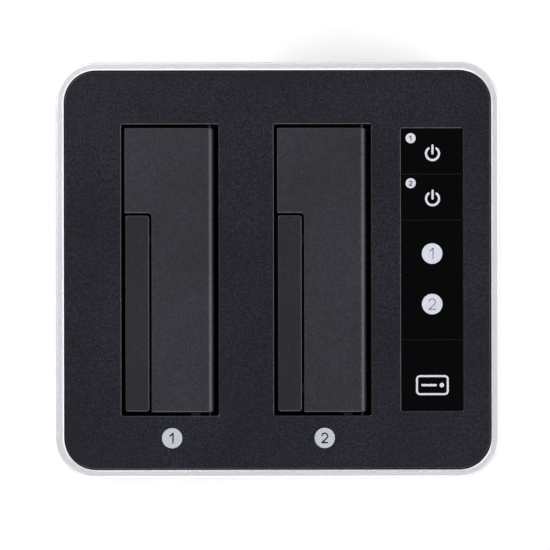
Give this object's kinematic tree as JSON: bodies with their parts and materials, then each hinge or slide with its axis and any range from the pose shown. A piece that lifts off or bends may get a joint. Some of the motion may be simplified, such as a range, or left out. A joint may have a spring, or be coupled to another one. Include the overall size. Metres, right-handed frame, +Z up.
{
  "type": "dual bay drive dock",
  "caption": "Desktop dock with two sprung drive bays, each with a small door nested in a large one, beside a strip of power buttons and indicators.",
  "frame": {"origin": "centre of the footprint, on the table under the feet", "axes": "+X to the right along the wider side, +Y to the back where the ports are, +Z up"},
  "size_m": [0.16, 0.15, 0.076],
  "materials": {
    "anodised_shell": "fine bead-blasted, clear anodised",
    "panel_plastic": "fine spark-eroded grain",
    "door_plastic": "fine spark-eroded grain",
    "base_plastic": "light moulded grain",
    "well_plastic": "light moulded grain",
    "gloss_black": "polished",
    "light_guide": "milky, polished",
    "frame_plastic": "light moulded grain",
    "socket_plastic": "as moulded",
    "contact_gold": "gold flashed",
    "steel_pin": "ground",
    "spring_wire": "drawn wire",
    "screw_steel": "black zinc",
    "foot_rubber": "matt",
    "circuit_board": "solder mask",
    "chip_resin": "moulded epoxy",
    "thermal_silicone": "soft pad",
    "sink_aluminium": "black anodised",
    "can_aluminium": "drawn, part sleeved",
    "ferrite": "pressed powder",
    "switch_plastic": "as moulded",
    "plunger_plastic": "as moulded",
    "lamp_resin": "clear over phosphor",
    "ribbon_film": "white film",
    "port_steel": "nickel plated",
    "jack_plastic": "as moulded"
  },
  "bodies": {
    "housing": {"housing_sleeve": "anodised_shell", "top_panel": "panel_plastic", "base_tray": "base_plastic", "rear_io_plate": "base_plastic", "rubber_feet": "foot_rubber", "tie_screws": "screw_steel", "well_screws": "screw_steel", "control_frame": "frame_plastic", "indicator_window": "gloss_black", "trim_plate": "gloss_black", "control_board": "circuit_board", "tact_switches": "switch_plastic", "indicator_leds": "lamp_resin", "control_board_screws": "screw_steel", "ribbon_cable": "ribbon_film", "ribbon_connectors": "socket_plastic", "main_board": "circuit_board", "board_screws": "screw_steel", "controller_chips": "chip_resin", "thermal_pad": "thermal_silicone", "heat_sink": "sink_aluminium", "power_capacitors": "can_aluminium", "power_inductors": "ferrite", "usb_shell": "port_steel", "usb_tongue": "socket_plastic", "dc_jack": "jack_plastic", "dc_jack_pin": "contact_gold", "bay_well_1": "well_plastic", "door_pin_1": "steel_pin", "door_spring_1": "spring_wire", "drive_socket_1": "socket_plastic", "socket_contacts_1": "contact_gold", "light_pipe_1": "light_guide", "bay_well_2": "well_plastic", "door_pin_2": "steel_pin", "door_spring_2": "spring_wire", "drive_socket_2": "socket_plastic", "socket_contacts_2": "contact_gold", "light_pipe_2": "light_guide"},
    "big_door_1": {"bay_door_1": "door_plastic", "small_door_pin_1": "steel_pin", "small_door_spring_1": "spring_wire"},
    "little_door_1": {"small_door_1": "door_plastic"},
    "button_1": {"power_button_1": "gloss_black", "tact_plunger_1": "plunger_plastic"},
    "big_door_2": {"bay_door_2": "door_plastic", "small_door_pin_2": "steel_pin", "small_door_spring_2": "spring_wire"},
    "little_door_2": {"small_door_2": "door_plastic"},
    "button_2": {"power_button_2": "gloss_black", "tact_plunger_2": "plunger_plastic"}
  },
  "joints": [
    {"name": "big_door_1_hinge", "type": "hinge", "parent": "housing", "child": "big_door_1", "pos_m": [-0.0246, 0, 0.0729], "axis": [0, -1, 0], "range_deg": [0, 88], "stiffness_Nm_per_rad": 0.004, "springref_deg": -68.75, "deforming": ["door_spring_1"]},
    {"name": "little_door_1_hinge", "type": "hinge", "parent": "big_door_1", "child": "little_door_1", "pos_m": [-0.0429, 0, 0.0717], "axis": [0, -1, 0], "range_deg": [0, 90], "stiffness_Nm_per_rad": 0.0006, "springref_deg": -68.75, "deforming": ["small_door_spring_1"]},
    {"name": "big_door_2_hinge", "type": "hinge", "parent": "housing", "child": "big_door_2", "pos_m": [0.0304, 0, 0.0729], "axis": [0, -1, 0], "range_deg": [0, 88], "stiffness_Nm_per_rad": 0.004, "springref_deg": -68.75, "deforming": ["door_spring_2"]},
    {"name": "little_door_2_hinge", "type": "hinge", "parent": "big_door_2", "child": "little_door_2", "pos_m": [0.0121, 0, 0.0717], "axis": [0, -1, 0], "range_deg": [0, 90], "stiffness_Nm_per_rad": 0.0006, "springref_deg": -68.75, "deforming": ["small_door_spring_2"]},
    {"name": "button_1_press", "type": "slide", "parent": "housing", "child": "button_1", "axis": [0, 0, -1], "range_m": [0, 0.0005], "stiffness_N_per_m": 150, "springref_m": -0.0015},
    {"name": "button_2_press", "type": "slide", "parent": "housing", "child": "button_2", "axis": [0, 0, -1], "range_m": [0, 0.0005], "stiffness_N_per_m": 150, "springref_m": -0.0015}
  ]
}
